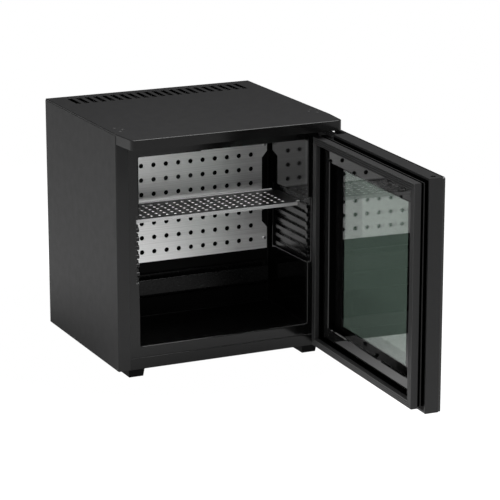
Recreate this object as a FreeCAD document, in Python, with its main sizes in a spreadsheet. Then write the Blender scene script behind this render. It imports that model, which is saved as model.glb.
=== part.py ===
"""A small hotel minibar: insulated cabinet, framed glass door on the right, one perforated shelf."""

import FreeCAD, Part
import Sketcher
import math
import os
import re

# Driving sizes in millimetres, angles in degrees and counts. Each is a cell of the sheet.
SIZES = {
    # cabinet shell
    "cabinet_width": 400,
    "cabinet_depth": 332,
    "cabinet_height": 414,
    "foot_height": 15,
    "steel": 1,
    "bend_radius": 1.5,
    "side_return": 22,
    "rear_return": 14,
    "header_band": 26,
    "header_flange": 20,
    "base_band": 20,
    "rail_height": 18,
    "rail_flange": 10,
    "fit": 0.2,
    "overrun": 1,
    # top cover
    "cover_skin": 3,
    "cover_inset": 1,
    "cover_round": 1.2,
    "hood_overhang": 58,
    "hood_height": 17.5,
    "hood_wall": 2.5,
    "hood_corner": 8.5,
    "hood_taper": 5,
    "slot_count": 21,
    "slot_side_margin": 37,
    "slot_width": 8.5,
    "slot_length": 50,
    "slot_margin": 19.5,
    "plug_radius": 2.4,
    "plug_depth": 6,
    "plug_crown": 0.5,
    "plug_side_margin": 16,
    "plug_rear_set": 17,
    "plug_step_side": 9.6,
    "plug_step_depth": 13.5,
    # base
    "base_slot_count": 9,
    "base_slot_side_margin": 78.8,
    "base_slot_width": 10,
    "base_slot_length": 80,
    "base_slot_margin": 30,
    "foot_width": 30,
    "foot_length": 46,
    "foot_taper": 8,
    "foot_side_margin": 20,
    "foot_end_margin": 5,
    # liner and insulation
    "opening_side": 41.5,
    "opening_head": 42.5,
    "opening_sill": 39.5,
    "liner_depth": 151,
    "liner_draft": 4,
    "liner_wall": 2,
    "liner_corner": 4,
    "liner_lip": 1.5,
    "flange_lap": 6,
    "foam_back": 35,
    # shelf guides
    "guide_depth": 6.5,
    "guide_length": 132,
    "guide_top": 146,
    "guide_bottom": 262,
    "rack_plate": 1.5,
    "rack_front": 0.5,
    "rib_count": 7,
    "knob_count": 6,
    "knob_drop": 8.5,
    "rib_pitch": 15.4,
    "rib_height": 6,
    "rib_top": 160.8,
    "knob_radius": 4.5,
    # shelf
    "shelf_skin": 1.2,
    "shelf_depth": 105,
    "shelf_rear_gap": 9.5,
    "shelf_side_gap": 1,
    "shelf_edge_gap": 5,
    "shelf_tab_margin": 8,
    "shelf_lip": 6,
    "shelf_rear_lip": 3,
    "shelf_hole": 2.8,
    "shelf_columns": 19,
    "shelf_rows": 6,
    "shelf_hole_side": 22,
    "shelf_hole_front": 14.5,
    "shelf_hole_rear": 19,
    "shelf_rest_gap": 0.3,
    # cooling plate
    "plate_side_gap": 5.5,
    "plate_sill": 105,
    "plate_drop": 16.5,
    "plate_skin": 1.5,
    "plate_gap": 5,
    "plate_hole": 4.2,
    "plate_columns": 11,
    "plate_rows": 7,
    "plate_hole_side": 31.5,
    "plate_hole_low": 18.5,
    "plate_hole_high": 36,
    "plate_notch": 10,
    "plate_notch_top_share": 0.206,
    "plate_notch_height_share": 0.553,
    "plate_notch_slope": 12,
    "stud_radius": 3,
    "stud_side_margin": 1.5,
    "stud_end_margin": 19.5,
    "stud_head": 1.5,
    # gutter and drain
    "gutter_end_gap": 9,
    "gutter_low": 41.5,
    "gutter_high": 82,
    "gutter_depth": 20,
    "gutter_lip": 5,
    "gutter_lip_height": 35,
    "gutter_lip_round": 2.2,
    "gutter_foot_round": 8,
    "gutter_floor": 12,
    "gutter_slope": 6,
    "drain_set": 42,
    "drain_radius": 4,
    "drain_wall": 1.2,
    "drain_height": 47.5,
    # lamp
    "lamp_length": 117,
    "lamp_depth": 56,
    "lamp_height": 4.5,
    "lamp_set": 22,
    "lamp_round": 2,
    "lens_margin": 8,
    "lens_skin": 1.5,
    # cooling unit in the rear
    "block_width": 120,
    "block_height": 30,
    "block_reach": 12,
    "block_centre": 50,
    "tube_radius": 6,
    "tube_span": 140,
    "tube_bend": 14,
    "tube_gap": 0.3,
    "unit_set": 81,
    "unit_height": 72,
    "evaporator_drop": 86,
    "riser_reach": 20,
    "riser_rise": 82.5,
    "fin_count": 13,
    "fin_size": 56,
    "fin_skin": 1,
    "boiler_radius": 30,
    "boiler_low": 75,
    "boiler_side_gap": 29,
    "boiler_bevel": 6,
    "vessel_radius": 24,
    "vessel_rise": 35,
    "vessel_side_gap": 70,
    "vessel_boiler_gap": 60,
    "vessel_bevel": 8,
    "coil_radius": 7,
    "coil_set": 128,
    "coil_side_gap": 40,
    "coil_boiler_gap": 52,
    "coil_low": 95,
    "coil_pitch": 50,
    "coil_bend": 16,
    "coil_start_set": 30,
    "bracket_skin": 2,
    "bracket_low": 85,
    "bracket_height": 130,
    "bracket_offset": 60,
    "strap_width": 20,
    "strap_low": 150,
    "cup_length": 56,
    "cup_width": 44,
    "cup_height": 19,
    "cup_wall": 1.5,
    "box_width": 54,
    "box_depth": 38,
    "box_height": 80,
    "box_side_margin": 5,
    "box_drop": 26,
    "box_round": 3,
    "gland_radius": 8,
    "gland_length": 18,
    "gland_bore": 4,
    # hinge
    "hinge_inset_x": 13,
    "hinge_inset_y": 15,
    "rest_angle": 87.9,
    "pin_radius": 3,
    "running_fit": 0.05,
    "bush_radius": 6,
    "bush_length": 20,
    "collar_radius": 8,
    "collar_skin": 1.5,
    "collar_gap": 0.5,
    "hinge_skin": 3,
    "hinge_margin": 9,
    "hinge_outer_margin": 5,
    "hinge_front_margin": 6,
    "hinge_side_gap": 1.5,
    "hinge_leg": 11,
    "hinge_reach": 40,
    "hinge_screw": 3,
    "hinge_screw_head": 1.5,
    "hinge_screw_margin": 1,
    "near_screw_share": 0.25,
    "far_screw_share": 0.75,
    "pin_top_gap": 2,
    # door
    "door_side_gap": 1,
    "door_sill": 3,
    "door_drop": 21.5,
    "seal_gap": 0.8,
    "pane": 4,
    "pane_corner": 3,
    "frame_depth": 24,
    "frame_width": 38,
    "frame_round": 1,
    "notch_length": 45,
    "notch_depth": 9.5,
    "notch_wall": 1.5,
    "reverse_radius": 4.5,
    "reverse_depth": 12,
    "reverse_sink": 3,
    "reverse_stand": 1.2,
    "spacer": 15.5,
    "spacer_width": 8,
    "trim_outer": 27.5,
    "trim_inner": 48.5,
    "trim_height": 9,
    "trim_bevel": 2,
    "gasket_edge": 8,
    "gasket_width": 13.5,
    "gasket_base": 4,
    "gasket_lip": 2,
    "gasket_neck": 4,
    "gasket_inset": 3,
    "gasket_bulb": 12,
    "magnet_width": 6,
    "magnet_height": 4,
    "magnet_skin": 2,
}

# Places worked out from the sizes, each an expression of its own.
PLACES = {
    "half_width": "cabinet_width / 2",
    "face": "-cabinet_depth / 2",
    "rear": "cabinet_depth / 2",
    "crown": "foot_height + cabinet_height",
    "under_cover": "crown - cover_skin",
    "cover_half": "half_width - cover_inset",
    "hood_front": "face - hood_overhang",
    "hood_low": "crown - hood_height",
    "slot_pitch": "2 * (cover_half - slot_side_margin) / (slot_count - 1)",
    "base_half": "half_width - steel - fit",
    "base_slot_pitch": "2 * (base_half - base_slot_side_margin) / (base_slot_count - 1)",
    "base_top": "foot_height + steel",
    "rail_half": "half_width - rear_return - fit",
    "band_half": "half_width - side_return - fit",
    "wall_side": "half_width - opening_side",
    "wall_back": "wall_side - liner_draft",
    "opening_low": "foot_height + opening_sill",
    "opening_high": "crown - opening_head",
    "flange_face": "face + steel + fit",
    "flange_half": "half_width - side_return + flange_lap",
    "flange_low": "foot_height + base_band - flange_lap",
    "flange_high": "crown - header_band + flange_lap",
    "liner_back": "flange_face + liner_depth",
    "liner_rear": "liner_back + liner_wall",
    "foam_rear": "liner_rear + foam_back",
    "machine_face": "foam_rear + steel",
    "guide_high": "crown - guide_top",
    "guide_low": "crown - guide_bottom",
    "guide_side": "wall_side + guide_depth",
    "first_rib": "crown - rib_top",
    "shelf_low": "first_rib + shelf_rest_gap",
    "shelf_back": "plate_face - shelf_rear_gap",
    "shelf_face": "shelf_back - shelf_depth",
    "shelf_half": "guide_side - rack_plate - shelf_side_gap",
    "shelf_inner": "wall_side - shelf_edge_gap",
    "shelf_pitch": "2 * (shelf_inner - shelf_hole_side) / (shelf_columns - 1)",
    "shelf_row_pitch": "(shelf_depth - shelf_hole_front - shelf_hole_rear) / (shelf_rows - 1)",
    "plate_back": "liner_back - plate_gap",
    "plate_face": "plate_back - plate_skin",
    "plate_high": "opening_high - plate_drop",
    "plate_low": "opening_low + plate_sill",
    "plate_height": "plate_high - plate_low",
    "plate_half": "wall_back - plate_side_gap",
    "plate_pitch": "2 * (plate_half - plate_hole_side) / (plate_columns - 1)",
    "plate_row_pitch": "(plate_height - plate_hole_low - plate_hole_high) / (plate_rows - 1)",
    "gutter_face": "liner_back - gutter_depth",
    "gutter_base": "opening_low + gutter_low",
    "gutter_middle": "liner_back - gutter_depth / 2",
    "drain_level": "opening_low + drain_height",
    "drain_offset": "vessel_left - drain_set",
    "lamp_side": "liner_corner + liner_draft - wall_side",
    "lamp_face": "flange_face + lamp_set",
    "lamp_high": "opening_high - fit - liner_draft * (lamp_set + lamp_depth) / liner_depth",
    "lamp_low": "lamp_high - lamp_height",
    "evaporator_level": "opening_high - evaporator_drop",
    "block_rear": "liner_rear + block_reach",
    "tube_line": "block_rear + tube_gap + tube_radius",
    "tube_left": "-block_centre - tube_span / 2",
    "tube_right": "tube_span / 2 - block_centre",
    "unit_line": "machine_face + unit_set",
    "condenser_level": "evaporator_level + unit_height",
    "boiler_foot": "foot_height + boiler_low",
    "boiler_top": "condenser_level - riser_rise",
    "boiler_centre": "half_width - steel - boiler_side_gap - boiler_radius",
    "condenser_end": "boiler_centre - riser_reach",
    "condenser_left": "tube_left + tube_radius + tube_gap",
    "fin_pitch": "(condenser_end - condenser_left) / (fin_count + 1)",
    "vessel_left": "half_width - vessel_side_gap",
    "vessel_right": "boiler_centre - vessel_boiler_gap",
    "coil_left": "half_width - coil_side_gap",
    "coil_right": "boiler_centre - coil_boiler_gap",
    "coil_start": "vessel_left - coil_start_set",
    "vessel_level": "foot_height + vessel_rise",
    "vessel_top": "vessel_level + vessel_radius",
    "coil_line": "machine_face + coil_set",
    "coil_first": "foot_height + coil_low",
    "hinge_x": "half_width - hinge_inset_x",
    "hinge_y": "face - seal_gap - door_thickness + hinge_inset_y",
    "door_thickness": "pane + frame_depth + gasket_height",
    "gasket_height": "gasket_base + gasket_lip + gasket_neck + gasket_bulb",
    "door_width": "cabinet_width - door_side_gap",
    "door_left": "hinge_inset_x - door_width",
    "door_low": "foot_height + door_sill",
    "door_high": "crown - door_drop",
    "pane_face": "-hinge_inset_y",
    "pane_back": "pane_face + pane",
    "frame_back": "pane_back + frame_depth",
    "inner_face": "pane_back + spacer",
    "inner_back": "inner_face + pane",
    "notch_floor": "door_high - notch_depth",
    "plate_under": "notch_floor + collar_skin + collar_gap",
    "lip_face": "frame_back + gasket_base",
    "neck_face": "lip_face + gasket_lip",
    "bulb_face": "neck_face + gasket_neck",
    "bulb_back": "bulb_face + gasket_bulb",
    "magnet_face": "bulb_back - magnet_skin - magnet_height",
    "magnet_back": "bulb_back - magnet_skin",
    "magnet_margin": "gasket_edge + (gasket_width - magnet_width) / 2",
}

WORD = re.compile(r"[a-z][a-z0-9_]{2,}")
WORLD = {"x": FreeCAD.Vector(1, 0, 0), "y": FreeCAD.Vector(0, 1, 0), "z": FreeCAD.Vector(0, 0, 1)}
ALONG = {axis: FreeCAD.Rotation(WORLD["z"], WORLD[axis]) for axis in WORLD}
HEXAGON = 6
CLOSE = 1e-6
DRAFT_ANGLE = "-atan(liner_draft / liner_depth)"

doc = FreeCAD.newDocument("Minibar")
sheet = doc.addObject("Spreadsheet::Sheet", "Sizes")
nodes = []


def fill_sheet():
    """Writes each size as a plain number with its own alias."""
    for row, (name, value) in enumerate(SIZES.items(), start=1):
        sheet.set(f"A{row}", name)
        sheet.set(f"B{row}", str(value))
        sheet.setAlias(f"B{row}", name)
    doc.recompute()


def written_out(expression, size_text):
    """An expression with each place written out and each size as the text that a function gives for it."""

    def text(match):
        word = match.group()
        if word in PLACES:
            return f"({written_out(PLACES[word], size_text)})"
        return size_text(word) if word in SIZES else word

    return WORD.sub(text, str(expression))


def cells(expression):
    """An expression with each size as its cell."""
    return written_out(expression, lambda name: f"{sheet.Name}.{name}")


def number(expression):
    """The value of an expression at the present sizes."""
    return FreeCAD.Units.Quantity(written_out(expression, lambda name: str(sheet.get(name)))).Value


def bind(thing, sizes):
    for path, expression in sizes.items():
        thing.setExpression(path, cells(expression))


def place(thing, x, y, z):
    bind(thing, {"Placement.Base.x": x, "Placement.Base.y": y, "Placement.Base.z": z})


def node(thing, label):
    """Marks a finished object as a sub-part of its own."""
    thing.Label = label
    nodes.append(thing)
    return thing


def hang(thing, label):
    """A finished piece of the door, drawn about the hinge line and turned to its rest angle."""
    place(thing, "hinge_x", "hinge_y", "0")
    bind(thing, {"Placement.Rotation.Angle": "rest_angle"})
    return node(thing, label)


def box(name, x, y, z):
    """A box between two places along each axis."""
    thing = doc.addObject("Part::Box", name)
    for side, (start, end) in (("Length", x), ("Width", y), ("Height", z)):
        bind(thing, {side: f"({end}) - ({start})"})
    place(thing, x[0], y[0], z[0])
    return thing


def rod(name, axis, radius, length, x, y, z):
    """A round bar that starts at a point and runs along one axis."""
    thing = doc.addObject("Part::Cylinder", name)
    thing.Placement = FreeCAD.Placement(FreeCAD.Vector(), ALONG[axis])
    bind(thing, {"Radius": radius, "Height": length})
    place(thing, x, y, z)
    return thing


def fuse(name, *pieces):
    thing = doc.addObject("Part::MultiFuse", name)
    thing.Shapes = list(pieces)
    thing.Refine = True
    return thing


def cut(name, base, *tools):
    thing = doc.addObject("Part::Cut", name)
    thing.Base = base
    thing.Tool = tools[0] if len(tools) == 1 else fuse(f"{name}_tools", *tools)
    return thing


def group(name, pieces):
    thing = doc.addObject("Part::Compound", name)
    thing.Links = pieces
    return thing


def new_body(name):
    return doc.addObject("PartDesign::Body", name)


def origin(owner, role):
    return next(feature for feature in owner.Origin.OriginFeatures if feature.Role == role)


def sketch(owner, plane, level, loops=(), circles=()):
    """Closed outlines and circles on one of the body's own planes, each point bound to the sheet."""
    drawing = owner.newObject("Sketcher::SketchObject", f"{owner.Name}_outline")
    drawing.AttachmentSupport = [(origin(owner, f"{plane}_Plane"), "")]
    drawing.MapMode = "FlatFace"
    bind(drawing, {"AttachmentOffset.Base.z": f"-({level})" if plane == "XZ" else level})
    for loop in loops:
        first = drawing.GeometryCount
        corners = [FreeCAD.Vector(number(h), number(v), 0) for h, v in loop]
        count = len(corners)
        for i in range(count):
            drawing.addGeometry(Part.LineSegment(corners[i], corners[(i + 1) % count]))
        for i in range(count):
            drawing.addConstraint(Sketcher.Constraint("Coincident", first + i, 2, first + (i + 1) % count, 1))
        for i, (h, v) in enumerate(loop):
            for kind, value, expression in (("DistanceX", corners[i].x, h), ("DistanceY", corners[i].y, v)):
                index = drawing.addConstraint(Sketcher.Constraint(kind, -1, 1, first + i, 1, value))
                bind(drawing, {f"Constraints[{index}]": expression})
    for h, v, radius in circles:
        centre = FreeCAD.Vector(number(h), number(v), 0)
        ring = drawing.addGeometry(Part.Circle(centre, WORLD["z"], number(radius)))
        for kind, value, expression in (("DistanceX", centre.x, h), ("DistanceY", centre.y, v)):
            index = drawing.addConstraint(Sketcher.Constraint(kind, -1, 1, ring, 3, value))
            bind(drawing, {f"Constraints[{index}]": expression})
        index = drawing.addConstraint(Sketcher.Constraint("Radius", ring, number(radius)))
        bind(drawing, {f"Constraints[{index}]": radius})
    return drawing


def extrude(owner, kind, profile, length, flip, midplane=False):
    feature = owner.newObject(f"PartDesign::{kind}", f"{owner.Name}_{kind}")
    feature.Profile = profile
    feature.Reversed = flip
    feature.Midplane = midplane
    bind(feature, {"Length": length})
    return feature


def pad(owner, plane, level, length, loops=(), circles=(), flip=False, midplane=False):
    return extrude(owner, "Pad", sketch(owner, plane, level, loops, circles), length, flip, midplane)


def pocket(owner, plane, level, length, loops=(), circles=(), flip=False):
    """Cuts an outline out of a body, and stops if nothing is taken away."""
    doc.recompute()
    before = owner.Shape.Volume
    feature = extrude(owner, "Pocket", sketch(owner, plane, level, loops, circles), length, flip)
    doc.recompute()
    if not owner.Shape.Volume < before:
        raise RuntimeError(f"{feature.Label} cuts nothing")
    return feature


def pattern(owner, originals, axis, length, count, second=None):
    """Repeats features along one or two axes of the body."""
    doc.recompute()
    feature = owner.newObject("PartDesign::LinearPattern", f"{owner.Name}_pattern")
    feature.Originals = originals
    feature.Direction = (origin(owner, f"{axis}_Axis"), [""])
    bind(feature, {"Length": length, "Occurrences": count})
    if second:
        feature.Direction2 = (origin(owner, f"{second[0]}_Axis"), [""])
        bind(feature, {"Length2": second[1], "Occurrences2": second[2]})
    owner.Tip = feature
    return feature


def dress(owner, kind, size, wanted):
    """Rounds or bevels the edges of the body's last feature that meet a test on their box."""
    doc.recompute()
    base = owner.Tip
    names = [f"Edge{i}" for i, edge in enumerate(base.Shape.Edges, start=1) if wanted(edge.BoundBox)]
    feature = owner.newObject(f"PartDesign::{kind}", f"{owner.Name}_{kind}")
    feature.Base = (base, names)
    bind(feature, {"Radius" if kind == "Fillet" else "Size": size})
    owner.Tip = feature
    return feature


def rect(left, right, low, high):
    return [(left, low), (right, low), (right, high), (left, high)]


def both_sides(half, low, high):
    return rect(f"-({half})", half, low, high)


def near(value, expression):
    return math.isclose(value, number(expression), abs_tol=CLOSE)


def upright_at_depth(y):
    """A test for the upright edges at a depth y."""
    return lambda b: near(b.Center.y, y) and b.XLength + b.YLength < b.ZLength


def upright_at(x, y):
    """A test for the upright edges at a distance x to either side and at a depth y."""
    return lambda b: near(abs(b.Center.x), x) and upright_at_depth(y)(b)


def tube(name, points, radius, bend):
    """A round tube along straight runs with bends of one radius, its points as three expressions each."""
    corners = [FreeCAD.Vector(*[number(value) for value in point]) for point in points]
    reach = number(bend)
    edges = []
    start = corners[0]
    for before, corner, after in zip(corners, corners[1:], corners[2:]):
        inward = (before - corner).normalize()
        outward = (after - corner).normalize()
        entry = corner + inward * reach
        leave = corner + outward * reach
        middle = corner + (inward + outward) * reach * (1 - math.sqrt(0.5))
        edges.append(Part.LineSegment(start, entry).toShape())
        edges.append(Part.Arc(entry, middle, leave).toShape())
        start = leave
    edges.append(Part.LineSegment(start, corners[-1]).toShape())
    run = (corners[1] - corners[0]).normalize()
    section = Part.Wire(Part.Circle(corners[0], run, number(radius)).toShape())
    thing = doc.addObject("Part::Feature", name)
    thing.Shape = Part.Wire(edges).makePipeShell([section], True, False)
    return thing


def side_panel(label, sign):
    """One steel side, folded in at the front as the door's sealing face and at the rear."""
    outline = [
        ("half_width", "face"),
        ("half_width", "rear"),
        ("half_width - rear_return", "rear"),
        ("half_width - rear_return", "rear - steel"),
        ("half_width - steel", "rear - steel"),
        ("half_width - steel", "face + steel"),
        ("half_width - side_return", "face + steel"),
        ("half_width - side_return", "face"),
    ]
    panel = new_body(label)
    loop = [(f"{sign} * ({x})", y) for x, y in outline]
    pad(panel, "XY", "foot_height", "cabinet_height - cover_skin", [loop])
    dress(panel, "Fillet", "bend_radius", upright_at("half_width", "face"))
    dress(panel, "Fillet", "bend_radius", upright_at("half_width", "rear"))
    node(panel, label)


def top_cover():
    """The lid with its hood over the door, vent slots along the rear and six small hole plugs."""
    cover = new_body("top_cover")
    pad(cover, "XY", "under_cover", "cover_skin", [both_sides("cover_half", "face - fit", "rear")])
    pad(cover, "XY", "hood_low", "hood_height", [hood_outline("0", "face - fit")])
    dress(cover, "Fillet", "hood_corner", upright_at_depth("hood_front"))
    dress(cover, "Fillet", "cover_round", lambda b: near(b.ZMin, "crown"))
    inside = hood_outline("hood_wall", "face")
    pocket(cover, "XY", "hood_low", "hood_height - cover_skin", [inside], flip=True)
    dress(cover, "Fillet", "hood_corner - hood_wall", upright_at_depth("hood_front + hood_wall"))
    first = "-(slot_count - 1) * slot_pitch / 2"
    slot = rect(f"{first} - slot_width / 2", f"{first} + slot_width / 2",
                "rear - slot_margin - slot_length", "rear - slot_margin")
    vent = pocket(cover, "XY", "crown + overrun", "cover_skin + 2 * overrun", [slot])
    pattern(cover, [vent], "X", "(slot_count - 1) * slot_pitch", "slot_count")
    holes = [(x, y, "plug_radius + fit") for x, y in plug_places()]
    pocket(cover, "XY", "crown + overrun", "cover_skin + 2 * overrun", circles=holes)
    node(cover, "top_cover")
    plugs = [rod(f"cover_plug_{i}", "z", "plug_radius", "plug_depth", x, y, "crown + plug_crown - plug_depth")
             for i, (x, y) in enumerate(plug_places())]
    node(group("cover_plugs_group", plugs), "cover_plugs")


def hood_outline(wall, back):
    """The hood in plan, less a wall, drawn in a little towards its front."""
    half, front = f"cover_half - {wall}", f"hood_front + {wall}"
    nose = f"{half} - hood_taper"
    return [(f"-({nose})", front), (nose, front), (half, back), (f"-({half})", back)]


def plug_places():
    side = "half_width - plug_side_margin"
    depth = "face + plug_rear_set"
    return [(f"{sign} * ({side} - {inward} * plug_step_side)", f"{depth} + {back} * plug_step_depth")
            for sign in (-1, 1) for inward, back in ((0, 0), (1, 1), (0, 2))]


def front_and_rear_rails():
    """The folded rails that join the two sides under the cover."""
    rim = "under_cover - fit"
    header = new_body("front_header")
    pad(header, "YZ", "0", "2 * band_half", midplane=True, loops=[[
        ("face", "crown - header_band"), ("face", rim), ("face + header_flange", rim),
        ("face + header_flange", f"{rim} - steel"), ("face + steel", f"{rim} - steel"),
        ("face + steel", "crown - header_band")]])
    node(header, "front_header")
    rail = new_body("rear_rail")
    pad(rail, "YZ", "0", "2 * rail_half", midplane=True, loops=[[
        ("rear", f"{rim} - rail_height"), ("rear", rim), ("rear - rail_flange", rim),
        ("rear - rail_flange", f"{rim} - steel"), ("rear - steel", f"{rim} - steel"),
        ("rear - steel", f"{rim} - rail_height")]])
    node(rail, "rear_rail")


def base_pan():
    """The floor sheet, turned up at the front and rear, with air slots under the cooling unit."""
    front = "face + steel + fit"
    back = "rear - steel - fit"
    right = [("band_half", "face"), ("band_half", front), ("base_half", front), ("base_half", back),
             ("rail_half", back), ("rail_half", "rear")]
    left = [(f"-{x}", y) for x, y in reversed(right)]
    pan = new_body("base_pan")
    pad(pan, "XY", "foot_height", "steel", [right + left])
    pad(pan, "XY", "foot_height", "base_band", [both_sides("band_half", "face", "face + steel")])
    pad(pan, "XY", "foot_height", "rail_height", [both_sides("rail_half", "rear - steel", "rear")])
    first = "-(base_slot_count - 1) * base_slot_pitch / 2"
    slot = rect(f"{first} - base_slot_width / 2", f"{first} + base_slot_width / 2",
                "rear - base_slot_margin - base_slot_length", "rear - base_slot_margin")
    vent = pocket(pan, "XY", "base_top + overrun", "steel + 2 * overrun", [slot])
    pattern(pan, [vent], "X", "(base_slot_count - 1) * base_slot_pitch", "base_slot_count")
    node(pan, "base_pan")


def feet():
    """Four tapered feet under the corners."""
    for end, end_sign in (("front", -1), ("rear", 1)):
        y = f"{end_sign} * (rear - foot_end_margin - foot_length / 2)"
        for side, side_sign in (("left", -1), ("right", 1)):
            x = f"{side_sign} * (half_width - foot_side_margin - foot_width / 2)"
            top = rect(f"{x} - foot_width / 2", f"{x} + foot_width / 2",
                       f"{y} - foot_length / 2", f"{y} + foot_length / 2")
            foot = new_body(f"foot_{end}_{side}")
            block = pad(foot, "XY", "foot_height", "foot_height", [top], flip=True)
            bind(block, {"TaperAngle": "-foot_taper"})
            node(foot, f"foot_{end}_{side}")


def liner_tub(owner):
    """The outside of the tub, a little narrower at the back so that it leaves its mould."""
    outline = both_sides("wall_side + liner_wall", "opening_low - liner_wall", "opening_high + liner_wall")
    tub = pad(owner, "XZ", "flange_face", "liner_depth + liner_wall", [outline], flip=True)
    bind(tub, {"TaperAngle": DRAFT_ANGLE})


def inner_liner():
    """The moulded tub with its front flange, guide pockets in both sides and holes in the back."""
    liner = new_body("inner_liner")
    bulge = both_sides("guide_side + liner_wall", "guide_low - liner_wall", "guide_high + liner_wall")
    flange = both_sides("flange_half", "flange_low", "flange_high")
    pad(liner, "XZ", "flange_face", "liner_wall", [flange], flip=True)
    liner_tub(liner)
    pad(liner, "XZ", "flange_face", "guide_length + liner_wall", [bulge], flip=True)
    opening = both_sides("wall_side", "opening_low", "opening_high")
    hollow = pocket(liner, "XZ", "flange_face", "liner_depth", [opening])
    bind(hollow, {"TaperAngle": DRAFT_ANGLE})
    middle = number("wall_side - liner_draft / 2 + liner_wall / 2")
    dress(liner, "Fillet", "liner_corner",
          lambda b: abs(b.Center.x) < middle and near(b.YLength, "liner_depth"))
    side, low, high = number("wall_side"), number("opening_low"), number("opening_high")
    dress(liner, "Fillet", "liner_lip",
          lambda b: near(b.YMax, "flange_face") and abs(b.Center.x) < side + CLOSE
          and low - CLOSE < b.Center.z < high + CLOSE)
    pocket(liner, "XZ", "flange_face", "guide_length", [both_sides("guide_side", "guide_low", "guide_high")])
    window = rect("-block_centre - block_width / 2 - fit", "block_width / 2 - block_centre + fit",
                  "evaporator_level - block_height / 2 - fit", "evaporator_level + block_height / 2 + fit")
    pocket(liner, "XZ", "liner_back - overrun", "liner_wall + 2 * overrun", [window])
    drain = [("-drain_offset", "drain_level", "drain_radius + fit")]
    pocket(liner, "XZ", "liner_back - overrun", "liner_wall + 2 * overrun", circles=drain)
    node(liner, "inner_liner")


def insulation():
    """The foam round the liner, its steel back and the plug between the two evaporator legs."""
    block = box("foam_block", ("-base_half", "base_half"), ("flange_face + liner_wall", "foam_rear"),
                ("base_top", "under_cover - header_band + steel"))
    tub = new_body("foam_tub")
    liner_tub(tub)
    bulge = box("foam_guides", ("-guide_side - liner_wall", "guide_side + liner_wall"),
                ("face", "flange_face + guide_length + liner_wall"),
                ("guide_low - liner_wall", "guide_high + liner_wall"))
    reach = ("tube_left - 2 * tube_radius", "tube_right + 2 * tube_radius")
    level = ("evaporator_level - block_height / 2 - fit", "evaporator_level + block_height / 2 + fit")
    well = box("foam_well", reach, ("liner_rear - overrun", "foam_rear + overrun"), level)
    drain = rod("foam_drain", "y", "drain_radius + fit", "foam_back + 2 * overrun",
                "-drain_offset", "liner_rear - overrun", "drain_level")
    node(cut("insulation_foam", block, tub, bulge, well, drain), "insulation_foam")
    plug = box("evaporator_plug",
               ("tube_left + tube_radius + tube_bend", "tube_right - tube_radius - tube_bend"),
               ("tube_line + tube_radius + fit", "foam_rear"), level)
    node(plug, "evaporator_plug")
    blank = box("foam_back_blank", ("-base_half", "base_half"), ("foam_rear", "machine_face"),
                ("base_top", "under_cover - fit"))
    passages = (("tube_left", "evaporator_level", "tube_radius + fit"),
                ("tube_right", "evaporator_level", "tube_radius + fit"),
                ("-drain_offset", "drain_level", "drain_radius + fit"))
    holes = [rod(f"foam_back_hole_{i}", "y", radius, "steel + 2 * overrun", x, "foam_rear - overrun", z)
             for i, (x, z, radius) in enumerate(passages)]
    node(cut("foam_back_sheet", blank, *holes), "foam_back_sheet")


def shelf_rack(label, sign):
    """A moulded rack of ribs in one guide pocket, each rib with a round stop at its front."""
    rack = new_body(label)
    front = "flange_face + rack_front"
    back = "flange_face + guide_length - fit"
    flip = sign > 0
    wall = f"{sign} * guide_side"
    plate_side = f"{sign} * (guide_side - rack_plate)"
    depth = "guide_depth - rack_plate"
    start = f"{front} + knob_radius"
    pad(rack, "YZ", wall, "rack_plate", [rect(front, back, "guide_low + fit", "guide_high - fit")], flip=flip)
    bar = rect(start, back, "first_rib - rib_height", "first_rib")
    rib = pad(rack, "YZ", plate_side, depth, [bar], flip=flip)
    stop = (start, "first_rib - knob_drop", "knob_radius")
    knob = pad(rack, "YZ", plate_side, depth, circles=[stop], flip=flip)
    for feature, count in ((rib, "rib_count"), (knob, "knob_count")):
        row = pattern(rack, [feature], "Z", f"({count} - 1) * rib_pitch", count)
        row.Reversed = True
    node(rack, label)


def hexagon(x, y, radius):
    turns = [math.radians(360 / HEXAGON * i) for i in range(HEXAGON)]
    return [(f"{x} + {radius} * {math.cos(a):.9f}", f"{y} + {radius} * {math.sin(a):.9f}") for a in turns]


def shelf():
    """The perforated sheet, with a lip folded down at the front and up at the rear."""
    tray = new_body("shelf")
    inner = "shelf_inner"
    tabs = ("shelf_face + shelf_tab_margin", "flange_face + guide_length - shelf_tab_margin")
    pad(tray, "XY", "shelf_low", "shelf_skin", [both_sides(inner, "shelf_face", "shelf_back")])
    pad(tray, "XY", "shelf_low", "shelf_skin", [both_sides("shelf_half", *tabs)])
    pad(tray, "XY", "shelf_low + shelf_skin", "shelf_lip", flip=True,
        loops=[both_sides(inner, "shelf_face", "shelf_face + shelf_skin")])
    pad(tray, "XY", "shelf_low", "shelf_rear_lip",
        loops=[both_sides(inner, "shelf_back - shelf_skin", "shelf_back")])
    first_x = "shelf_hole_side - shelf_inner"
    first_y = "shelf_face + shelf_hole_front"
    hole = pocket(tray, "XY", "shelf_low + shelf_skin + overrun", "shelf_skin + 2 * overrun",
                  [hexagon(first_x, first_y, "shelf_hole")])
    pattern(tray, [hole], "X", "(shelf_columns - 1) * shelf_pitch", "shelf_columns",
            ("Y", "(shelf_rows - 1) * shelf_row_pitch", "shelf_rows"))
    node(tray, "shelf")


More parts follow.
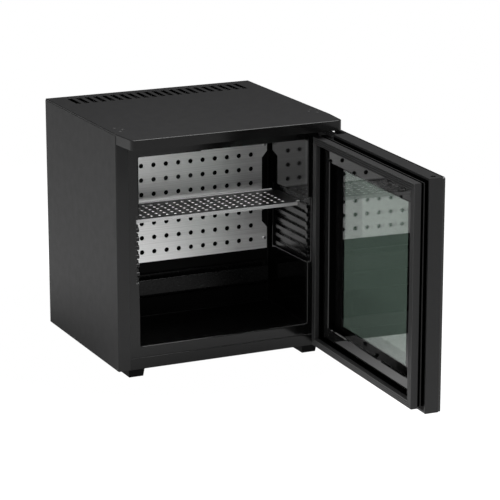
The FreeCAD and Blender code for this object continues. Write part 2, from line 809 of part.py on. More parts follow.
def cooling_plate():
    """The perforated aluminium plate on the rear wall, on studs, with stepped sides."""
    half = "plate_half"
    waist = f"{half} - plate_notch"
    top = "plate_high - plate_height * plate_notch_top_share"
    low = f"{top} - plate_height * plate_notch_height_share"
    right = [(half, "plate_low"), (half, f"{low} - plate_notch_slope"), (waist, low), (waist, top),
             (half, f"{top} + plate_notch_slope"), (half, "plate_high")]
    left = [(f"-({x})", z) for x, z in reversed(right)]
    plate = new_body("cooling_plate")
    pad(plate, "XZ", "plate_face", "plate_skin", [right + left], flip=True)
    first_x = "plate_hole_side - plate_half"
    first_z = "plate_low + plate_hole_low"
    hole = pocket(plate, "XZ", "plate_face - overrun", "plate_skin + 2 * overrun",
                  circles=[(first_x, first_z, "plate_hole")])
    pattern(plate, [hole], "X", "(plate_columns - 1) * plate_pitch", "plate_columns",
            ("Z", "(plate_rows - 1) * plate_row_pitch", "plate_rows"))
    node(plate, "cooling_plate")
    side = f"{half} - stud_side_margin - stud_radius"
    spots = [(f"{sign} * ({side})", z) for sign in (-1, 1)
             for z in ("plate_low + stud_end_margin", "plate_high - stud_end_margin")]
    spacers = [rod(f"plate_spacer_{i}", "y", "stud_radius", "plate_gap", x, "plate_back", z)
               for i, (x, z) in enumerate(spots)]
    node(group("plate_spacers_group", spacers), "plate_spacers")
    heads = [rod(f"plate_screw_{i}", "y", "stud_radius", "stud_head", x, "plate_face - stud_head", z)
             for i, (x, z) in enumerate(spots)]
    node(group("plate_screws_group", heads), "plate_screws")


def gutter_and_drain():
    """The drip gutter under the plate, and the hose from it to the cup on the warm vessel."""
    gutter = new_body("drip_gutter")
    lip = "gutter_base + gutter_lip_height"
    floor = "gutter_base + gutter_floor"
    rim = "opening_low + gutter_high"
    pad(gutter, "YZ", "0", "2 * (wall_back - gutter_end_gap)", midplane=True, loops=[[
        ("gutter_face", "gutter_base"), ("liner_back", "gutter_base"), ("liner_back", rim),
        ("liner_back - gutter_lip", rim), ("liner_back - gutter_lip", f"{floor} + gutter_slope"),
        ("gutter_face + gutter_lip", floor), ("gutter_face + gutter_lip", lip), ("gutter_face", lip)]])
    pocket(gutter, "XY", rim, "gutter_high - drain_height",
           circles=[("-drain_offset", "gutter_middle", "drain_radius")])
    pocket(gutter, "XZ", "gutter_middle", "gutter_depth / 2 + overrun",
           circles=[("-drain_offset", "drain_level", "drain_radius + fit")])
    dress(gutter, "Fillet", "gutter_lip_round", lambda b: b.YLength < b.XLength and near(b.ZMin, lip))
    dress(gutter, "Fillet", "gutter_foot_round",
          lambda b: near(b.YMax, "gutter_face") and near(b.ZMax, "gutter_base"))
    node(gutter, "drip_gutter")
    path = [("-drain_offset", "gutter_middle + drain_radius", "drain_level"),
            ("-drain_offset", "unit_line", "drain_level"),
            ("-drain_offset", "unit_line", "vessel_top + tube_gap + cup_wall + tube_gap")]
    outside = tube("drain_outside", path, "drain_radius", "2 * drain_radius")
    inside = tube("drain_inside", path, "drain_radius - drain_wall", "2 * drain_radius")
    node(cut("drain_hose", outside, inside), "drain_hose")
    half = "cup_length / 2"
    spread = ("unit_line - cup_width / 2", "unit_line + cup_width / 2")
    low = "vessel_top + tube_gap"
    outer = box("cup_outer", (f"-drain_offset - {half}", f"{half} - drain_offset"), spread,
                (low, f"{low} + cup_height"))
    inner = box("cup_inner", (f"cup_wall - drain_offset - {half}", f"{half} - drain_offset - cup_wall"),
                (f"{spread[0]} + cup_wall", f"{spread[1]} - cup_wall"),
                (f"{low} + cup_wall", f"{low} + cup_height + overrun"))
    node(cut("drip_cup", outer, inner), "drip_cup")


def lamp():
    """The lamp housing under the ceiling and its lens."""
    housing = new_body("lamp_housing")
    right = "lamp_side + lamp_length"
    back = "lamp_face + lamp_depth"
    pad(housing, "XY", "lamp_low", "lamp_height", [rect("lamp_side", right, "lamp_face", back)])
    dress(housing, "Fillet", "lamp_round", lambda b: near(b.ZMax, "lamp_low") and b.YLength < b.XLength)
    recess = rect("lamp_side + lens_margin", f"{right} - lens_margin",
                  "lamp_face + lens_margin", f"{back} - lens_margin")
    pocket(housing, "XY", "lamp_low", "lens_skin", [recess], flip=True)
    node(housing, "lamp_housing")
    lens = box("lamp_lens", ("lamp_side + lens_margin + fit", f"{right} - lens_margin - fit"),
               ("lamp_face + lens_margin + fit", f"{back} - lens_margin - fit"),
               ("lamp_low", "lamp_low + lens_skin"))
    node(lens, "lamp_lens")


def cooling_unit():
    """The sealed cooling circuit: boiler, finned condenser, evaporator, absorber coil and vessel."""
    block = box("cold_block", ("-block_centre - block_width / 2", "block_width / 2 - block_centre"),
                ("plate_back", "block_rear"),
                ("evaporator_level - block_height / 2", "evaporator_level + block_height / 2"))
    node(block, "cold_block")
    evaporator = tube("evaporator_tube", [
        ("tube_left", "unit_line", "condenser_level + tube_radius"),
        ("tube_left", "unit_line", "evaporator_level"),
        ("tube_left", "tube_line", "evaporator_level"),
        ("tube_right", "tube_line", "evaporator_level"),
        ("tube_right", "unit_line", "evaporator_level"),
        ("tube_right", "unit_line", "vessel_top + tube_gap")], "tube_radius", "tube_bend")
    node(evaporator, "evaporator_tube")
    condenser = rod("condenser_tube", "x", "tube_radius", "condenser_end - condenser_left",
                    "condenser_left", "unit_line", "condenser_level")
    node(condenser, "condenser_tube")
    fins = []
    for i in range(SIZES["fin_count"]):
        left = f"condenser_end - ({i} + 1) * fin_pitch"
        edge = "fin_size / 2"
        blank = box(f"fin_blank_{i}", (left, f"{left} + fin_skin"),
                    (f"unit_line - {edge}", f"unit_line + {edge}"),
                    (f"condenser_level - {edge}", f"condenser_level + {edge}"))
        bore = rod(f"fin_bore_{i}", "x", "tube_radius + running_fit", "fin_skin + 2 * overrun",
                   f"{left} - overrun", "unit_line", "condenser_level")
        fins.append(cut(f"fin_{i}", blank, bore))
    node(group("condenser_fins_group", fins), "condenser_fins")
    boiler = new_body("boiler_jacket")
    jacket = ("boiler_centre", "unit_line", "boiler_radius")
    pad(boiler, "XY", "boiler_foot", "boiler_top - boiler_foot", circles=[jacket])
    dress(boiler, "Chamfer", "boiler_bevel", lambda b: b.ZLength < number("overrun"))
    node(boiler, "boiler_jacket")
    riser = tube("boiler_riser", [
        ("boiler_centre", "unit_line", "boiler_top + tube_gap"),
        ("boiler_centre", "unit_line", "condenser_level"),
        ("condenser_end + tube_gap", "unit_line", "condenser_level")], "tube_radius", "tube_bend")
    node(riser, "boiler_riser")
    vessel = new_body("absorber_vessel")
    drum = ("unit_line", "vessel_level", "vessel_radius")
    pad(vessel, "YZ", "-vessel_left", "vessel_left + vessel_right", circles=[drum])
    dress(vessel, "Chamfer", "vessel_bevel", lambda b: b.XLength < number("overrun"))
    node(vessel, "absorber_vessel")
    pipe = tube("liquid_pipe", [
        ("vessel_right + tube_gap", "unit_line", "vessel_level"),
        ("boiler_centre", "unit_line", "vessel_level"),
        ("boiler_centre", "unit_line", "boiler_foot - tube_gap")], "tube_radius", "tube_bend")
    node(pipe, "liquid_pipe")
    level = "coil_first"
    route = [("-coil_start", "unit_line + vessel_radius + tube_gap", "vessel_level"),
             ("-coil_start", "coil_line", "vessel_level"),
             ("-coil_left", "coil_line", "vessel_level"),
             ("-coil_left", "coil_line", level)]
    for end in ("coil_right", "-coil_left"):
        route.append((end, "coil_line", level))
        level += " + coil_pitch"
        route.append((end, "coil_line", level))
    route.append(("tube_right", "coil_line", level))
    route.append(("tube_right", "unit_line + tube_radius + tube_gap", level))
    node(tube("absorber_coil", route, "coil_radius", "coil_bend"), "absorber_coil")
    reach = ("machine_face", "coil_line - coil_radius - tube_gap")
    tall = ("foot_height + bracket_low", "foot_height + bracket_low + bracket_height")
    webs = [box(f"unit_bracket_{i}", (x, f"{x} + bracket_skin"), reach, tall)
            for i, x in enumerate(("-bracket_offset", "bracket_offset"))]
    strap = box("boiler_strap", ("boiler_centre - strap_width / 2", "boiler_centre + strap_width / 2"),
                ("machine_face", "unit_line - boiler_radius - tube_gap"),
                ("foot_height + strap_low", "foot_height + strap_low + strap_width"))
    node(group("unit_brackets_group", webs + [strap]), "unit_brackets")


def control_box():
    """The switch box of the heater, with the gland for a supply lead."""
    case = new_body("control_box")
    right = "half_width - steel - box_side_margin"
    left = f"{right} - box_width"
    high = "under_cover - box_drop"
    pad(case, "XZ", "machine_face", "box_depth", [rect(left, right, f"{high} - box_height", high)], flip=True)
    dress(case, "Fillet", "box_round", lambda b: near(b.YMin, "machine_face + box_depth"))
    node(case, "control_box")
    centre = (f"{right} - box_width / 2", "machine_face + box_depth / 2",
              f"{high} - box_height - gland_length")
    sleeve = rod("gland_sleeve", "z", "gland_radius", "gland_length", *centre)
    bore = rod("gland_hole", "z", "gland_bore", "gland_length - overrun", *centre)
    node(cut("cord_gland", sleeve, bore), "cord_gland")


def hinge_brackets():
    """The two fixed hinge plates, their pins and screws."""
    side = ("hinge_x - hinge_margin", "half_width - hinge_side_gap")
    narrow = (side[0], "hinge_x + hinge_outer_margin")
    reach = ("hinge_y - hinge_front_margin", "face")
    tongue = box("top_hinge_tongue", narrow, reach, ("plate_under", "plate_under + hinge_skin"))
    leg = box("top_hinge_leg", side, ("face - hinge_skin", "face"),
              ("plate_under", "plate_under + hinge_leg"))
    hole = rod("top_hinge_hole", "z", "pin_radius", "hinge_skin + 2 * overrun",
               "hinge_x", "hinge_y", "plate_under - overrun")
    node(cut("top_hinge_bracket", fuse("top_hinge_blank", tongue, leg), hole), "top_hinge_bracket")
    low = "notch_floor - bush_length + pin_top_gap"
    pin = rod("top_hinge_pin", "z", "pin_radius", f"plate_under + hinge_skin - ({low})",
              "hinge_x", "hinge_y", low)
    node(pin, "top_hinge_pin")
    foot = ("foot_height - hinge_skin", "foot_height")
    slab = box("bottom_hinge_blank", ("hinge_x - bush_radius", side[1]),
               ("hinge_y - hinge_margin", "face + hinge_reach"), foot)
    well = rod("bottom_hinge_hole", "z", "pin_radius", "hinge_skin + 2 * overrun",
               "hinge_x", "hinge_y", f"{foot[0]} - overrun")
    node(cut("bottom_hinge_bracket", slab, well), "bottom_hinge_bracket")
    rise = f"door_low + bush_length - pin_top_gap - ({foot[0]})"
    node(rod("bottom_hinge_pin", "z", "pin_radius", rise, "hinge_x", "hinge_y", foot[0]), "bottom_hinge_pin")
    level = "plate_under + hinge_leg - hinge_screw - hinge_screw_margin"
    depth = "face - hinge_skin - hinge_screw_head"
    across = ("hinge_x - hinge_screw - hinge_screw_margin", "hinge_x + 2 * hinge_screw + hinge_screw_margin")
    screws = [rod(f"leg_screw_{i}", "y", "hinge_screw", "hinge_screw_head", x, depth, level)
              for i, x in enumerate(across)]
    along = ("face + hinge_reach * near_screw_share", "face + hinge_reach * far_screw_share")
    screws += [rod(f"foot_screw_{i}", "z", "hinge_screw", "hinge_screw_head",
                   "(hinge_x + half_width) / 2", y, f"{foot[0]} - hinge_screw_head")
               for i, y in enumerate(along)]
    node(group("hinge_screws_group", screws), "hinge_screws")


def door_rect(margin):
    """The door's outline moved in by a margin on all four sides."""
    return rect(f"door_left + {margin}", f"hinge_inset_x - ({margin})",
                f"door_low + {margin}", f"door_high - ({margin})")


def door_panes():
    """The two panes and the spacer that holds them apart."""
    outer = new_body("outer_glass")
    pad(outer, "XZ", "pane_face", "pane", [door_rect("0")], flip=True)
    dress(outer, "Fillet", "pane_corner", lambda b: near(b.YLength, "pane"))
    hang(outer, "outer_glass")
    margin = "frame_width + fit"
    inner = new_body("inner_glass")
    pad(inner, "XZ", "inner_face", "pane", [door_rect(margin)], flip=True)
    hang(inner, "inner_glass")
    spacer = new_body("glass_spacer")
    pad(spacer, "XZ", "pane_back", "spacer", flip=True,
        loops=[door_rect(margin), door_rect(f"{margin} + spacer_width")])
    hang(spacer, "glass_spacer")


def door_frames():
    """The outer frame with its hinge corner, and the bevelled trim that holds the inner pane."""
    frame = new_body("door_frame")
    pad(frame, "XZ", "pane_back", "frame_depth", [door_rect("0"), door_rect("frame_width")], flip=True)
    dress(frame, "Fillet", "frame_round", lambda b: near(b.YMin, "frame_back") and (
        near(b.XMin, "door_left") or near(b.XMax, "hinge_inset_x")))
    notch = rect("hinge_inset_x - notch_length", "hinge_inset_x + overrun",
                 "pane_back + notch_wall", "frame_back + overrun")
    pocket(frame, "XY", "door_high", "notch_depth", [notch])
    pocket(frame, "XY", "door_high", "notch_depth + bush_length", circles=[("0", "0", "bush_radius")])
    pocket(frame, "XY", "door_low", "bush_length", circles=[("0", "0", "bush_radius")], flip=True)
    spare = [("door_left + hinge_inset_x", "0", "reverse_radius")]
    pocket(frame, "XY", "door_high", "reverse_depth", circles=spare)
    pocket(frame, "XY", "door_low", "reverse_depth", circles=spare, flip=True)
    hang(frame, "door_frame")
    trim = new_body("door_trim")
    pad(trim, "XZ", "frame_back", "trim_height", flip=True,
        loops=[door_rect("trim_outer"), door_rect("trim_inner")])
    pad(trim, "XZ", "inner_back + fit", "frame_back - inner_back - fit", flip=True,
        loops=[door_rect("frame_width + fit"), door_rect("trim_inner")])
    left, right = number("door_left + trim_inner"), number("hinge_inset_x - trim_inner")
    low, high = number("door_low + trim_inner"), number("door_high - trim_inner")
    dress(trim, "Chamfer", "trim_bevel",
          lambda b: near(b.YMin, "frame_back + trim_height")
          and left - CLOSE < b.XMin and b.XMax < right + CLOSE
          and low - CLOSE < b.ZMin and b.ZMax < high + CLOSE)
    hang(trim, "door_trim")


def door_gasket():
    """The rubber seal in layers from its foot to the bulb, with the magnet strip inside the bulb."""
    gasket = new_body("door_gasket")
    edge, inner = "gasket_edge", "gasket_edge + gasket_width"
    slim = ("gasket_edge + gasket_inset", "gasket_edge + gasket_width - gasket_inset")
    hollow = ("magnet_margin", "magnet_margin + magnet_width")
    layers = (("frame_back", "gasket_base", slim), ("lip_face", "gasket_lip", (edge, inner)),
              ("neck_face", "gasket_neck", slim), ("bulb_face", "magnet_face - (bulb_face)", (edge, inner)),
              ("magnet_face", "magnet_height", (edge, hollow[0], hollow[1], inner)),
              ("magnet_back", "magnet_skin", (edge, inner)))
    for level, height, margins in layers:
        pad(gasket, "XZ", level, height, [door_rect(margin) for margin in margins], flip=True)
    dress(gasket, "Chamfer", "magnet_skin / 2", lambda b: near(b.YMin, "bulb_back"))
    hang(gasket, "door_gasket")
    magnet = new_body("gasket_magnet")
    pad(magnet, "XZ", "magnet_face", "magnet_height", [door_rect(margin) for margin in hollow], flip=True)
    hang(magnet, "gasket_magnet")


def door_bushes():
    """The hinge bushes, and the plugs in the spare hinge holes at the free end."""
    bore_radius = "pin_radius + running_fit"
    sleeve = rod("top_bush_sleeve", "z", "bush_radius", "bush_length", "0", "0", "notch_floor - bush_length")
    collar = rod("top_bush_collar", "z", "collar_radius", "collar_skin", "0", "0", "notch_floor")
    bore = rod("top_bush_bore", "z", bore_radius, "bush_length + collar_skin + overrun", "0", "0",
               "notch_floor - bush_length + overrun")
    hang(cut("top_hinge_bush", fuse("top_bush_blank", sleeve, collar), bore), "top_hinge_bush")
    gap = "door_sill - collar_gap"
    sleeve = rod("bottom_bush_sleeve", "z", "bush_radius", "bush_length", "0", "0", "door_low")
    collar = rod("bottom_bush_collar", "z", "collar_radius", gap, "0", "0", f"door_low - ({gap})")
    bore = rod("bottom_bush_bore", "z", bore_radius, f"bush_length + {gap} - overrun",
               "0", "0", f"door_low - ({gap})")
    hang(cut("bottom_hinge_bush", fuse("bottom_bush_blank", sleeve, collar), bore), "bottom_hinge_bush")
    spot = ("door_left + hinge_inset_x", "0")
    plugs = [rod("reverse_plug_top", "z", "reverse_radius", "reverse_depth - reverse_sink",
                 *spot, "door_high - reverse_depth"),
             rod("reverse_plug_low", "z", "reverse_radius", "reverse_depth + reverse_stand",
                 *spot, "door_low - reverse_stand")]
    hang(group("hinge_hole_plugs_group", plugs), "hinge_hole_plugs")


def build():
    fill_sheet()
    side_panel("left_side_panel", -1)
    side_panel("right_side_panel", 1)
    top_cover()
    front_and_rear_rails()
    base_pan()
    feet()
    inner_liner()
    insulation()
    shelf_rack("left_shelf_rack", -1)
    shelf_rack("right_shelf_rack", 1)
    shelf()
    cooling_plate()
    gutter_and_drain()
    lamp()
    cooling_unit()
    control_box()
    hinge_brackets()
    door_panes()
    door_frames()
    door_gasket()
    door_bushes()
    doc.recompute()


def check():
    """Stops unless every object was made and every sub-part is a sound solid."""
    for thing in doc.Objects:
        if "Invalid" in thing.State or "Error" in thing.State:
            raise RuntimeError(f"{thing.Label}: {thing.State}")
    for thing in nodes:
        shape = thing.Shape
        if shape.isNull() or not shape.isValid() or not shape.Solids:
            raise RuntimeError(f"{thing.Label} has no sound solid")


def export():
    os.makedirs("parts", exist_ok=True)
    for thing in nodes:
        thing.Shape.exportStep(f"parts/{thing.Label}.step")
    print(len(nodes), "sub-parts written")


build()
check()
export()
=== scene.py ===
import math

import bpy
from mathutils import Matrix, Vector

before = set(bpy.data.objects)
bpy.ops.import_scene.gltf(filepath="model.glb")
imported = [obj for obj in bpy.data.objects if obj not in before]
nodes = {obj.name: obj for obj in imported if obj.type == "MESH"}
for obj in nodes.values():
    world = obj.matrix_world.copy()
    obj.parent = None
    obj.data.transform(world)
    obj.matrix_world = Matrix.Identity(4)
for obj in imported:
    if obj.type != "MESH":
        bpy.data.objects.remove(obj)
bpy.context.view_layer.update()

# The photograph's camera, from its perspective fit: metres, degrees, and millimetres for lens and sensor.
CAMERA_PLACE = Vector((-1.633, -3.733, 1.266))
CAMERA_YAW = 25.22
CAMERA_PITCH = 15.10
CAMERA_LENS = 170.35
SENSOR = 36.0

# The softboxes: place, width and height, and watts. All of them look at one point.
LIGHT_TARGET = Vector((0.0, 0.0, 0.2))
SOFTBOXES = {
    "softbox_left": ((-2.6, -0.6, 1.3), (2.2, 2.0), 12.0),
    "softbox_top": ((0.2, -0.3, 2.6), (2.4, 2.4), 165.0),
    "softbox_front": ((-1.6, -3.0, 1.3), (1.6, 1.6), 40.0),
    "softbox_high": ((1.1, -1.9, 2.2), (1.4, 1.0), 40.0),
}
WORLD_GLOW = 0.04

# The floor: half its width, its colour under the lights, and the middle of the cabinet's shade on it.
FLOOR_REACH = 12.0
FLOOR_COLOUR = (0.85, 0.85, 0.85, 1.0)
FLOOR_SHADE = (0.0, 0.1, 0.0)
# The floor's glow in reflections, which paints the cabinet's shadow and a falloff of light, and the
# distances from that middle over which it rises and falls.
FLOOR_SHADED = 0.4
FLOOR_BRIGHTEST = 1.2
FLOOR_FAINTEST = 0.7
FLOOR_RISE = (0.25, 0.46)
FLOOR_FALL = (0.6, 2.5)

# The door's hinge line, the angle at which it stands open, and its directions sideways and through it.
HINGE = Vector((0.187, -0.2018, 0.0))
DOOR_ANGLE = math.radians(87.9)
DOOR_SIDEWAYS = (math.cos(DOOR_ANGLE), math.sin(DOOR_ANGLE), 0.0)
DOOR_THROUGH = (-math.sin(DOOR_ANGLE), math.cos(DOOR_ANGLE), 0.0)
# The door's middle and half its size, and half the clear glass of each pane, sideways and upwards.
DOOR_MIDDLE = (-0.1865, 0.21275)
DOOR_HALF = (0.1995, 0.19475)
OUTER_CLEAR = (0.1575, 0.1527)
INNER_CLEAR = (0.12, 0.1385)
# Through the door from its hinge line: the seal's lip, with half its height, the foot of the seal's bulb,
# the height up to which the seal's inner wall is painted black as shade, and the frame's back.
SEAL_LIP = 0.0168
SEAL_LIP_HALF = 0.0018
SEAL_BULB = 0.0225
SEAL_SHADE = 0.0275
FRAME_BACK = 0.0126
# In from the door's edge: the rim of the frame's back that is left out of the painted shade, and the inner
# walls of the seal and the trim, where their painted shade begins.
FRAME_RIM = 0.004
SEAL_INNER = 0.0212
TRIM_INNER = 0.0475

# How far back the liner's front flange and the shelf's front lip reach.
FLANGE = -0.155
SHELF_LIP = -0.1335
# Beyond this distance from the middle, the faces of the hood and the bands are outer sides.
OUTER_SIDE = 0.19
# How far the shading of sharp edges is rounded on the liner, the hood and the painted bands.
LINER_ROUND = 0.0025
HOOD_ROUND = 0.0003
BAND_ROUND = 0.0016
ROUND_SAMPLES = 8

# Where faces of these nodes meet at more than the angle, their edge is rounded by the width given.
SOFT_ANGLE = math.radians(40)
SOFT_SEGMENTS = 2
SOFT_EDGES = {
    "door_frame": 0.0006,
    "door_trim": 0.0008,
    "front_header": 0.0006,
    "base_pan": 0.001,
    "inner_liner": 0.0008,
    "shelf": 0.0003,
    "lamp_housing": 0.0008,
    "drip_gutter": 0.0008,
    "left_shelf_rack": 0.0006,
    "right_shelf_rack": 0.0006,
    "outer_glass": 0.0004,
    "top_hinge_bracket": 0.0005,
    "bottom_hinge_bracket": 0.0005,
    "control_box": 0.0006,
}

# Spans that are mapped to other values: a switch, a sine, most of a noise, and the part of it that is dust.
SWITCH = (0.0, 1.0)
SINE = (-1.0, 1.0)
NOISE = (0.3, 0.7)
DUST = (0.35, 0.75)
# How squarely a face looks along an axis: where it starts to count, and where it counts in full.
FACING = (0.5, 0.95)
WALL_FACING = (0.3, 0.9)
# How far a rounded normal turns at an edge: where the edge starts to shine, and where it shines in full.
EDGE_TURN = (0.02, 0.15)

BLACK = (0.0, 0.0, 0.0)
WHITE = (1.0, 1.0, 1.0, 1.0)
GLASS_IOR = 1.5


class Graph:
    """The node tree of a material or the world, built input by input."""

    def __init__(self, owner):
        owner.use_nodes = True
        self.tree = owner.node_tree
        self.tree.nodes.clear()

    def add(self, kind, inputs=None, **settings):
        """One node. An input is another node's output, which is linked, or a value."""
        made = self.tree.nodes.new(kind)
        for name, value in settings.items():
            setattr(made, name, value)
        for name, value in (inputs or {}).items():
            if isinstance(value, bpy.types.NodeSocket):
                self.tree.links.new(value, made.inputs[name])
            else:
                made.inputs[name].default_value = value
        return made

    def calc(self, operation, *values):
        return self.add("ShaderNodeMath", dict(enumerate(values)), operation=operation).outputs["Value"]

    def times(self, first, second):
        return self.calc("MULTIPLY", first, second)

    def most(self, first, second):
        return self.calc("MAXIMUM", first, second)

    def above(self, value, limit):
        return self.calc("GREATER_THAN", value, limit)

    def below(self, value, limit):
        return self.calc("LESS_THAN", value, limit)

    def size(self, value):
        return self.calc("ABSOLUTE", value)

    def vector(self, operation, first, second, output="Value"):
        return self.add("ShaderNodeVectorMath", {0: first, 1: second}, operation=operation).outputs[output]

    def coordinate(self, vector, axis):
        return self.add("ShaderNodeSeparateXYZ", {"Vector": vector}).outputs[axis]

    def remap(self, value, low, high, span=NOISE):
        """Maps the ends of a span to low and high."""
        inputs = {"Value": value, "From Min": span[0], "From Max": span[1], "To Min": low, "To Max": high}
        return self.add("ShaderNodeMapRange", inputs).outputs["Result"]

    def mixed_shader(self, factor, first, second):
        return self.add("ShaderNodeMixShader", {0: factor, 1: first, 2: second}).outputs["Shader"]


class Look(Graph):
    """A new material, shaded by the place of each point in the part at rest."""

    def __init__(self, name):
        self.material = bpy.data.materials.new(name)
        super().__init__(self.material)
        place = self.add("ShaderNodeTexCoord").outputs
        self.place = place["Object"]
        self.normal = place["Normal"]

    def noise(self, scale, detail, vector=None, roughness=0.5):
        inputs = {"Vector": vector or self.place, "Scale": scale, "Detail": detail, "Roughness": roughness}
        return self.add("ShaderNodeTexNoise", inputs).outputs["Fac"]

    def tint(self, factor, first, second):
        """Goes from the first colour to the second. A colour is three numbers or another node's output."""
        ends = [end if isinstance(end, bpy.types.NodeSocket) else (*end, 1.0) for end in (first, second)]
        inputs = {"Factor": factor, "A": ends[0], "B": ends[1]}
        return self.add("ShaderNodeMix", inputs, data_type="RGBA").outputs["Result"]

    def mottled(self, noise, colour, low, high):
        """A colour that a noise darkens and lightens to low and high times itself."""
        dark, light = (tuple(channel * factor for channel in colour) for factor in (low, high))
        return self.tint(self.remap(noise, *SWITCH), dark, light)

    def varied(self, noise, value, low, high, span=NOISE):
        """A value that a noise changes between low and high times itself."""
        return self.remap(noise, value * low, value * high, span)

    def uneven(self, roughness):
        """A roughness with small changes over the surface."""
        return self.varied(self.noise(scale=60.0, detail=4.0), roughness, low=0.96, high=1.05)

    def bump(self, height, distance, strength, normal=None):
        inputs = {"Height": height, "Distance": distance, "Strength": strength}
        if normal:
            inputs["Normal"] = normal
        return self.add("ShaderNodeBump", inputs).outputs["Normal"]

    def rounded(self, radius):
        return self.add("ShaderNodeBevel", {"Radius": radius}, samples=ROUND_SAMPLES).outputs["Normal"]

    def edges(self, smooth):
        """How far a rounded normal turns from the true one: nothing on faces, rising towards sharp edges."""
        true = self.add("ShaderNodeNewGeometry").outputs["Normal"]
        return self.calc("SUBTRACT", 1.0, self.vector("DOT_PRODUCT", smooth, true))

    def facing(self, axis):
        """How far the surface faces along one axis, either way."""
        return self.size(self.coordinate(self.normal, axis))

    def flat(self):
        """One on level faces, nothing on upright ones."""
        return self.remap(self.facing("Z"), *SWITCH, span=FACING)

    def door_axes(self):
        """Distances from the door's middle, sideways and upwards, and through it from its hinge line."""
        offset = self.vector("SUBTRACT", self.place, HINGE, output="Vector")
        side = self.calc("SUBTRACT", self.vector("DOT_PRODUCT", offset, DOOR_SIDEWAYS), DOOR_MIDDLE[0])
        height = self.calc("SUBTRACT", self.coordinate(offset, "Z"), DOOR_MIDDLE[1])
        return side, height, self.vector("DOT_PRODUCT", offset, DOOR_THROUGH)

    def past(self, side, height, half):
        """How far a place on the door lies outside a rectangle round the door's middle."""
        past_side = self.calc("SUBTRACT", self.size(side), half[0])
        past_height = self.calc("SUBTRACT", self.size(height), half[1])
        return self.most(past_side, past_height)

    def surface(self, **inputs):
        """Ends the material with a shader. The names of inputs have underscores for spaces."""
        named = {name.replace("_", " "): value for name, value in inputs.items()}
        shader = self.add("ShaderNodeBsdfPrincipled", named)
        self.add("ShaderNodeOutputMaterial", {"Surface": shader.outputs["BSDF"]})
        return self.material


def coated(name, colour, roughness, grain, depth, variation=0.12, specular=0.5):
    """Paint or moulded plastic: a fine grain, slow changes of tone and a little unevenness of gloss."""
    g = Look(name)
    slow = g.noise(scale=9.0, detail=2.0)
    fine = g.noise(scale=grain, detail=2.0)
    return g.surface(
        Base_Color=g.mottled(slow, colour, low=1.0 - variation, high=1.0 + variation),
        Roughness=g.uneven(roughness),
        Specular_IOR_Level=specular,
        Normal=g.bump(fine, distance=depth, strength=0.35),
    )


def polished(name, colour, roughness, wave, depth, specular):
    """Glossy moulded plastic, its reflections bent by slow waves of the moulding."""
    g = Look(name)
    slow = g.noise(scale=wave, detail=1.0)
    dust = g.noise(scale=700.0, detail=2.0)
    return g.surface(
        Base_Color=g.mottled(slow, colour, low=0.8, high=1.25),
        Roughness=g.varied(dust, roughness, low=0.8, high=1.5, span=DUST),
        Specular_IOR_Level=specular,
        Normal=g.bump(slow, distance=depth, strength=0.25),
    )


def satin(name, colour, shaded_front_colour, roughness, front_roughness, specular, rounding):
    """Satin black paint, smoother on its front and in slots than on its top and outer sides, and darker
    there as painted shade.
    """
    g = Look(name)
    outer = g.above(g.size(g.coordinate(g.place, "X")), OUTER_SIDE)
    sides = g.times(outer, g.remap(g.facing("X"), *SWITCH, span=FACING))
    # The front faces and the walls of slots take the painted shade colour.
    front = g.calc("SUBTRACT", 1.0, g.most(sides, g.flat()))
    gloss = g.remap(front, roughness, front_roughness, span=SWITCH)
    fine = g.noise(scale=800.0, detail=2.0)
    return g.surface(
        Base_Color=g.tint(front, colour, shaded_front_colour),
        Roughness=g.times(gloss, g.uneven(1.0)),
        Specular_IOR_Level=specular,
        Normal=g.bump(fine, distance=0.00004, strength=0.3, normal=g.rounded(rounding)),
    )


def liner_plastic(name, colour, flange_colour):
    """Glossy side walls, a dull grained back and floor, and a satin front flange with shiny edges."""
    g = Look(name)
    wall = g.facing("X")
    front = g.below(g.coordinate(g.place, "Y"), FLANGE)
    slow = g.noise(scale=14.0, detail=1.0)
    dust = g.remap(g.noise(scale=700.0, detail=2.0), low=0.85, high=1.3, span=DUST)
    flange_smoother = g.times(front, -0.25)
    flange_shine = g.times(front, 0.3)
    grain = g.calc("ADD", g.remap(wall, low=0.4, high=0.08, span=WALL_FACING), flange_smoother)
    shine = g.most(g.remap(wall, low=0.05, high=0.2, span=WALL_FACING), flange_shine)
    smooth = g.rounded(LINER_ROUND)
    edge_shine = g.times(front, g.remap(g.edges(smooth), *SWITCH, span=EDGE_TURN))
    inside = g.mottled(slow, colour, low=0.8, high=1.25)
    return g.surface(
        Base_Color=g.tint(front, inside, flange_colour),
        Roughness=g.times(grain, dust),
        Specular_IOR_Level=g.most(shine, edge_shine),
        Normal=g.bump(slow, distance=0.0005, strength=0.25, normal=smooth),
    )


def brushed(name, colour, roughness, scale):
    """Metal with fine brush marks along the axis of the smallest scale."""
    g = Look(name)
    stretched = g.add("ShaderNodeMapping", {"Vector": g.place, "Scale": scale}).outputs["Vector"]
    marks = g.noise(scale=1.0, detail=5.0, vector=stretched, roughness=0.7)
    slow = g.remap(g.noise(scale=7.0, detail=2.0), low=-0.03, high=0.03)
    return g.surface(
        Base_Color=g.mottled(marks, colour, low=0.82, high=1.08),
        Metallic=1.0,
        Roughness=g.calc("ADD", g.varied(marks, roughness, low=0.8, high=1.25), slow),
        Normal=g.bump(marks, distance=0.00003, strength=0.4),
    )


def shelf_metal(name, highlight_edge_colour, lip_colour, shaded_flat_colour, roughness):
    """Silver coat in lit and shaded copies: a painted highlight on the edges of holes, a grey front lip, and
    painted shade on the flat top and bottom.
    """
    g = Look(name)
    fine = g.noise(scale=900.0, detail=2.0)
    lip = g.below(g.coordinate(g.place, "Y"), SHELF_LIP)
    upright = g.tint(lip, highlight_edge_colour, lip_colour)
    lip_metallic = g.times(lip, 0.5)
    return g.surface(
        # Upright faces take the painted highlight colours, level faces the painted shade colour.
        Base_Color=g.tint(g.flat(), upright, shaded_flat_colour),
        Metallic=lip_metallic,
        Roughness=g.varied(fine, roughness, low=0.9, high=1.1),
        Normal=g.bump(fine, distance=0.00003, strength=0.3),
    )


